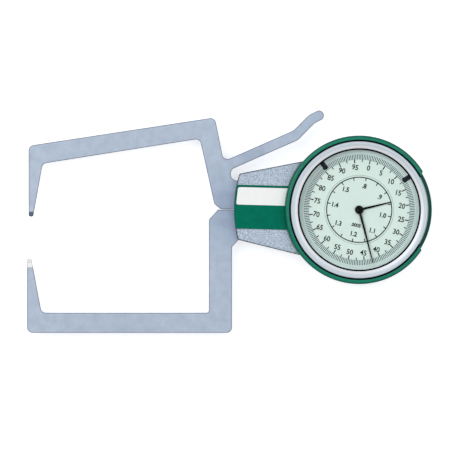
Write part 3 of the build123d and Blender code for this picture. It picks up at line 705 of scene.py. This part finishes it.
def makeGuard():
    v = guardValues
    under = v["top"] - v["lip"]
    return turnOpenRing([
        (v["wall"], v["bottom"], v["wallFoot"]), (v["outer"], v["bottom"], v["outerFoot"]),
        (v["outer"], v["top"], v["crown"]), (v["lipInner"], v["top"], v["lipCrown"]),
        (v["lipInner"], under, v["lipUnder"]), (v["wall"], under, 0)])


finishMesh("guard_shell", makeGuard(), guardGreen, "case", "guard_ring", sharp=40)
# painted shadow in the gap under the guard's lip
finishMesh("guard_shadow_gap", turnOpenRing(shadowGapValues["corners"]), blackRubber, "case")

# Knurled setting ring behind the guard
ringValues = {"outer": 34.4, "inner": 32.82, "bottom": 15.4, "top": 19.0, "foot": 0.2, "crown": 0.25,
              "rim": 18.3, "rimFrom": 18.1, "rimTo": 18.35, "groove": (34.0, 33.9, 33.45, 33.38),
              "grooveDepth": 0.2, "ridges": 32, "ridgeBand": 0.6, "depth": 0.45, "fullness": 0.7,
              "columns": 320}


def knurl(radius, height, angle):
    # a plain rim stands above the ridges
    v = ringValues
    if radius < v["outer"] - v["ridgeBand"] or height > v["rim"]:
        return radius
    wave = 0.5 - 0.5 * cos(angle * v["ridges"])
    return radius - v["depth"] * wave ** v["fullness"]


def makeSettingRing():
    v = ringValues
    inner, outer, top, sunk = v["inner"], v["outer"], v["top"], v["top"] - v["grooveDepth"]
    start, startSunk, endSunk, end = v["groove"]
    profile = roundedProfile([
        (inner, v["bottom"], 0), (outer, v["bottom"], v["foot"]), (outer, v["rimFrom"], 0),
        (outer, v["rimTo"], 0), (outer, top, v["crown"]), (start, top, 0), (startSunk, sunk, 0),
        (endSunk, sunk, 0), (end, top, 0), (inner, top, 0)])
    return turnProfile(profile, v["columns"], radiusAt=knurl)


finishMesh("setting_ring_knurled", makeSettingRing(), settingShadeGreen, "bezel", "setting_ring",
           sharp=50)

# Silver bezel, its rubber seal and the crystal
bezelValues = {"corners": [(30.5, 15.4, 0.1), (32.8, 15.4, 0.15), (32.8, 19.0, 0.1), (32.42, 19.2, 0.05),
                           (32.42, 22.55, 0.25), (31.2, 22.55, 0.3), (29.2, 22.0, 0.1), (29.2, 21.45, 0),
                           (30.5, 21.45, 0)],
               "columns": 256}
sealValues = {"corners": [(28.42, 21.45, 0), (29.2, 21.45, 0), (29.2, 21.74, 0), (28.42, 21.6, 0.06)],
              "columns": 192}
crystalValues = {"radius": 30.48, "bottom": 20.05, "top": 21.45, "rounding": 0.12, "columns": 160}
bezel = turnProfile(roundedProfile(bezelValues["corners"]), bezelValues["columns"])
finishMesh("bezel_turned", bezel, bezelSilver, "bezel", "bezel_ring", sharp=40)
seal = turnProfile(roundedProfile(sealValues["corners"]), sealValues["columns"])
finishMesh("crystal_seal", seal, blackRubber, "bezel")
finishMesh("crystal_plate", makeDisc(**crystalValues), crystalClear, "bezel", "crystal")
print("bezel, guard and crystal made")

# Printing on the dial; the turn is the dial's zero, in degrees from upright
printValues = {"floor": 17.5, "top": 17.515, "turn": -12.5, "outer": 26.35, "fine": 23.85, "fifth": 22.75,
               "tenth": 22.15, "overlap": 0.3, "fineWidth": 0.33, "fifthWidth": 0.44, "tenthWidth": 0.52,
               "divisions": 200, "circle": 15.45, "circleWidth": 0.5, "hairline": 16.4, "hairWidth": 0.11,
               "marks": 16, "markLength": 1.5, "markWidth": 0.46, "columns": 160,
               "numberRadius": 20.38, "numberHeight": 2.5, "numberWeight": 0.025, "innerRadius": 11.6,
               "innerHeight": 2.22, "innerWeight": 0.038, "stepRadius": 7.35, "stepHeight": 1.7}
# the digits' height in the font's own units, and how they are narrowed and raised
letterValues = {"tall": 0.729, "narrow": 0.92, "extrude": 0.02, "resolution": 3}


def addStroke(work, inner, outer, angle, width):
    # one printed division line, pointing at the dial's centre
    turn = radians(angle)
    across = Vector((-sin(turn), cos(turn))) * width / 2
    near = Vector(polar(inner, angle))
    far = Vector(polar(outer, angle))
    corners = [near - across, far - across, far + across, near + across]
    addSlab(work, [tuple(corner) for corner in corners], printValues["floor"], printValues["top"])


def addCircle(work, radius, width):
    floor, top = printValues["floor"], printValues["top"]
    inner, outer = radius - width / 2, radius + width / 2
    band = [(inner, floor), (outer, floor), (outer, top), (inner, top)]
    mergeInto(work, turnProfile(band, printValues["columns"]))


def makeDivisions():
    v = printValues
    work = bmesh.new()
    divisionStep, markStep = 360 / v["divisions"], 360 / v["marks"]
    for division in range(v["divisions"]):
        angle = 90 + v["turn"] - division * divisionStep
        addStroke(work, v["fine"], v["outer"], angle, v["fineWidth"])
        if division % 10 == 0:
            addStroke(work, v["tenth"], v["fine"] + v["overlap"], angle, v["tenthWidth"])
        elif division % 5 == 0:
            addStroke(work, v["fifth"], v["fine"] + v["overlap"], angle, v["fifthWidth"])
    for mark in range(v["marks"]):
        angle = 90 + v["turn"] - mark * markStep
        addStroke(work, v["circle"] - v["markLength"], v["circle"], angle, v["markWidth"])
    addCircle(work, v["circle"], v["circleWidth"])
    addCircle(work, v["hairline"], v["hairWidth"])
    return work


def addWord(work, word, height, reach, degrees, weight):
    # plain digits, laid flat on the dial
    v = letterValues
    curve = bpy.data.curves.new("word", "FONT")
    curve.body = word
    curve.align_x = "CENTER"
    curve.resolution_u = v["resolution"]
    curve.extrude = v["extrude"]
    curve.offset = weight
    lettered = placeObject("word", curve)
    evaluated = lettered.evaluated_get(bpy.context.evaluated_depsgraph_get())
    mesh = bpy.data.meshes.new_from_object(evaluated)
    xs = [vertex.co.x for vertex in mesh.vertices]
    scale = height / v["tall"]
    middle = Vector(((min(xs) + max(xs)) / 2, v["tall"] / 2, 0))
    raised = (printValues["top"] - printValues["floor"]) / (2 * v["extrude"])
    turn = radians(printValues["turn"])
    for vertex in mesh.vertices:
        flat = (vertex.co - middle) * scale
        x, y = turnAt((flat.x * v["narrow"], flat.y), turn, polar(reach, degrees + printValues["turn"]))
        vertex.co = mm(x, y, printValues["floor"] + (vertex.co.z + v["extrude"]) * raised)
    work.from_mesh(mesh)
    bpy.data.objects.remove(lettered)
    bpy.data.curves.remove(curve)
    bpy.data.meshes.remove(mesh)


def makeNumbers():
    v = printValues
    work = bmesh.new()
    for index in range(20):  # at every tenth division
        word = str(index * 5)
        addWord(work, word, v["numberHeight"], v["numberRadius"], 90 - index * 18, v["numberWeight"])
    for index in range(8):  # at every second mark, from .8 to 1.5
        value = 8 + index
        word = "." + str(value) if value < 10 else "1." + str(value - 10)
        addWord(work, word, v["innerHeight"], v["innerRadius"], 90 - index * 45, v["innerWeight"])
    addWord(work, ".0005", v["stepHeight"], v["stepRadius"], 270, v["innerWeight"])
    return work


finishMesh("dial_divisions", makeDivisions(), printInk, "bezel")
finishMesh("dial_numbers", makeNumbers(), printInk, "bezel")
print("dial printed")

# Hands and markers; stations are (reach, half width) along a blade
longHand = {"angle": -75.5, "bottom": 18.8, "hub": 2.05,
            "stations": ((1.7, 0.58), (15.5, 0.4), (16.0, 0.34), (25.9, 0.27))}
shortHand = {"angle": 13.5, "bottom": 18.0, "hub": 2.05, "bore": 0.72,
             "stations": ((1.7, 0.58), (15.4, 0.27))}
bladeValues = {"thickness": 0.25, "rim": 0.06, "under": 0.04, "edge": 0.08, "fold": 0.01, "columns": 64}
capValues = {"edge": 0.12}
markerValues = {"edge": 0.1}


def makeHand(values):
    # a tapering blade on a round hub, with a fold line down its middle
    v = bladeValues
    hub, bottom, rim = values["hub"], values["bottom"], v["rim"]
    top = bottom + v["thickness"]
    if "bore" in values:
        bore = values["bore"]
        work = turnProfile([(bore, bottom), (hub - rim, bottom), (hub, bottom + rim), (hub, top - rim),
                            (hub - rim, top), (bore, top)], v["columns"])
    else:
        work = makeDisc(hub, bottom, top, rim, v["columns"])
    low, edge, fold = bottom + v["under"], top - v["edge"], top - v["fold"]
    turn = radians(values["angle"])
    rows = []
    for reach, half in values["stations"]:
        row = []
        for side, height in ((-half, low), (-half, edge), (0, fold), (half, edge), (half, low)):
            x, y = turnAt((reach, side), turn)
            row.append(work.verts.new(mm(x, y, height)))
        rows.append(row)
    for near, far in zip(rows, rows[1:]):
        for index in range(5):
            after = (index + 1) % 5
            work.faces.new((near[index], far[index], far[after], near[after]))
    work.faces.new(rows[0])
    work.faces.new(list(reversed(rows[-1])))
    return work


finishMesh("long_hand_blade", makeHand(longHand), handBlack, "centre", "long_hand", sharp=20)
finishMesh("short_hand_blade", makeHand(shortHand), handBlack, "short", "short_hand", sharp=20)
dressNode("hand_cap", capBlack, capValues["edge"])
for node in ("limit_marker_left", "limit_marker_right"):
    dressNode(node, markerNavy, markerValues["edge"])

# Back cover and the screws in the back
coverValues = {"radius": 32.48, "bottom": 0.0, "top": 1.5, "rounding": 0.2, "columns": 192}
pocketValues = {"radius": 1.9, "bottom": -1.0, "top": 1.15, "rounding": 0.01, "columns": 40}
screwValues = {"gap": 0.12, "sink": 0.25, "slotFloor": 0.45, "head": 1.0, "rounding": 0.05, "columns": 36,
               "halfSlot": 0.22, "halfTop": 0.5, "steps": 16, "edge": 0.05, "circle": 28.6}
# each screw has a place and the turn of its slot
coverScrews = [(polar(screwValues["circle"], 45 + 90 * index), 20 + 65 * index) for index in range(4)]
neckScrews = [((-40.0, 9.0), 75), ((-40.0, -10.5), 25), ((-53.0, -10.5), -25)]


def makeScrew(name, at, degrees):
    # a slotted head, let in flush with the back
    v = screwValues
    radius, half, sink = pocketValues["radius"] - v["gap"], v["halfSlot"], v["sink"]
    work = makeDisc(radius, sink + v["slotFloor"], sink + v["head"], v["rounding"], v["columns"], at)
    limit = sqrt(radius ** 2 - half ** 2)
    arc = [polar(radius, -90 + 180 * step / v["steps"]) for step in range(v["steps"] + 1)]
    outline = [(half, -limit)] + [(x, y) for x, y in arc if x > half + 1e-4] + [(half, limit)]
    for side in (1, -1):
        points = [turnAt((x * side, y), radians(degrees), at) for x, y in outline]
        addSlab(work, points, sink, sink + v["halfTop"])
    return softenEdges(finishMesh(name, work, pinSteel, "case"), v["edge"])


def sinkPockets(piece, screws):
    # shallow round pockets cut from below, before the edges are softened
    cutter = bmesh.new()
    for at, degrees in screws:
        mergeInto(cutter, makeDisc(**pocketValues, at=at))
    bmesh.ops.recalc_face_normals(cutter, faces=cutter.faces)
    tool = placeObject("pockets", bakeMesh("pockets", cutter))
    cut = piece.modifiers.new("screw pockets", "BOOLEAN")
    cut.object = tool
    cut.operation = "DIFFERENCE"
    cut.solver = "EXACT"
    bevels = [modifier for modifier in piece.modifiers if modifier.type == "BEVEL"]
    for bevel in bevels:
        bevel.show_viewport = False
    result = bpy.data.meshes.new_from_object(piece.evaluated_get(bpy.context.evaluated_depsgraph_get()))
    for bevel in bevels:
        bevel.show_viewport = True
    piece.modifiers.remove(cut)
    smoothFaces(result, 30)
    piece.data = result
    bpy.data.objects.remove(tool)


cover = finishMesh("back_cover_turned", makeDisc(**coverValues), coverSteel, "case",
                   "back_cover")
sinkPockets(cover, coverScrews)
sinkPockets(caseShell, neckScrews)
for number, (at, degrees) in enumerate(coverScrews, 1):
    makeScrew("cover_screw_%d" % number, at, degrees)
for number, (at, degrees) in enumerate(neckScrews, 1):
    makeScrew("neck_screw_%d" % number, at, degrees)
print("back finished")

# Hairpin spring, copied from its node with softened edges
springValues = {"pivot": (-52.05, 0.0), "reach": 5.0, "fixedAngle": 300.0, "height": 13.0, "edge": 0.06}
hairpin = finishMesh("arm_return_hairpin", copyNode("arm_return_spring"), springSteel, None,
                     "arm_return_spring")
for angle in (springValues["fixedAngle"], springValues["fixedAngle"] - 180):
    x, y = polar(springValues["reach"], angle)
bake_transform(hairpin)
softenEdges(hairpin, springValues["edge"])

# Carried-over nodes get the finish of their metal
finishes = {
    "pivot_pin": pinSteel, "stop_pin": pinSteel, "spring_post": pinSteel, "spring_hook": pinSteel,
    "intermediate_arbor": pinSteel, "centre_arbor": pinSteel, "bezel_leaf_springs": springSteel,
    "movement_rear_plate": turnedBrass, "movement_front_plate": turnedBrass,
    "movement_pillars": turnedBrass, "sector_plate": turnedBrass, "intermediate_wheel": turnedBrass,
    "short_hand_pipe": turnedBrass, "dial_face": mintDial,
}
for node, material in finishes.items():
    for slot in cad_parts[node].material_slots:
        slot.material = material
print("inner pieces finished")

# Floor, light and camera, in metres
floorValues = {"width": 4.0, "level": -0.0001, "steps": 24, "white": (0.86, 0.86, 0.86, 1),
               "roughness": 0.9, "specular": 0.1, "glow": 0.5}
worldLight = 0.52
lampValues = {"target": (-0.064, 0.0, 0.0), "size": 0.9,
              "softboxLeft": ((-0.7, 0.46, 1.2), 6.4), "softboxRight": ((0.5, 0.05, 1.4), 4.1)}
cameraValues = {"centre": (-0.0637, -0.0072, 0.01), "width": 0.21375, "lens": 1200, "sensor": 36}


def makePaper():
    # pale paper that shows white to the camera and in the metal, and keeps the shadow
    v = floorValues
    material, tree, shader = startMaterial("palePaper", specular=v["specular"])
    setValues(shader, {"Base Color": v["white"], "Roughness": v["roughness"]})
    path = addNode(tree, "ShaderNodeLightPath")
    seen = addNode(tree, "ShaderNodeMath", operation="MAXIMUM")
    through = addNode(tree, "ShaderNodeMath", operation="MAXIMUM")
    strength = addNode(tree, "ShaderNodeMath", {1: v["glow"]}, operation="MULTIPLY")
    glow = addNode(tree, "ShaderNodeEmission")
    both = addNode(tree, "ShaderNodeAddShader")
    link = tree.links.new
    link(path.outputs["Is Camera Ray"], seen.inputs[0])
    link(path.outputs["Is Glossy Ray"], seen.inputs[1])
    link(seen.outputs[0], through.inputs[0])
    link(path.outputs["Is Transmission Ray"], through.inputs[1])
    link(through.outputs[0], strength.inputs[0])
    link(strength.outputs[0], glow.inputs["Strength"])
    link(shader.outputs["BSDF"], both.inputs[0])
    link(glow.outputs["Emission"], both.inputs[1])
    link(both.outputs["Shader"], tree.nodes["Material Output"].inputs["Surface"])
    return material


def makeFloor():
    width, steps = floorValues["width"], floorValues["steps"]
    places = [-width / 2 + width * step / steps for step in range(steps + 1)]
    work = bmesh.new()
    rows = [[work.verts.new((x, y, floorValues["level"])) for x in places] for y in places]
    for near, far in zip(rows, rows[1:]):
        for column in range(steps):
            work.faces.new((near[column], near[column + 1], far[column + 1], far[column]))
    mesh = bakeMesh("floor", work)
    mesh.materials.append(makePaper())
    floor = placeObject("floor", mesh)


def makeWorld():
    world = bpy.data.worlds.new("studio")
    bpy.context.scene.world = world
    world.use_nodes = True
    tree = world.node_tree
    back = tree.nodes["Background"]
    setValues(back, {"Color": (1, 1, 1, 1)})
    path = addNode(tree, "ShaderNodeLightPath")
    strength = addNode(tree, "ShaderNodeMapRange", {"To Min": worldLight, "To Max": 1.0})
    tree.links.new(path.outputs["Is Camera Ray"], strength.inputs["Value"])
    tree.links.new(strength.outputs["Result"], back.inputs["Strength"])


def addLamp(name):
    place, power = lampValues[name]
    lamp = bpy.data.lights.new(name, "AREA")
    lamp.shape = "SQUARE"
    lamp.size = lampValues["size"]
    lamp.energy = power
    holder = placeObject(name, lamp)
    holder.visible_camera = False
    holder.location = place
    towards = Vector(lampValues["target"]) - Vector(place)
    holder.rotation_euler = towards.to_track_quat("-Z", "Y").to_euler()


def makeCamera():
    v = cameraValues
    camera = bpy.data.cameras.new("camera")
    camera.lens = v["lens"]
    camera.sensor_width = v["sensor"]
    camera.clip_end = 20
    holder = placeObject("camera", camera)
    x, y, z = v["centre"]
    holder.location = (x, y, z + v["width"] * v["lens"] / v["sensor"])
    bpy.context.scene.camera = holder


makeFloor()
makeWorld()
addLamp("softboxLeft")
addLamp("softboxRight")
makeCamera()
bpy.context.scene.view_settings.view_transform = "Standard"
print("stage set")
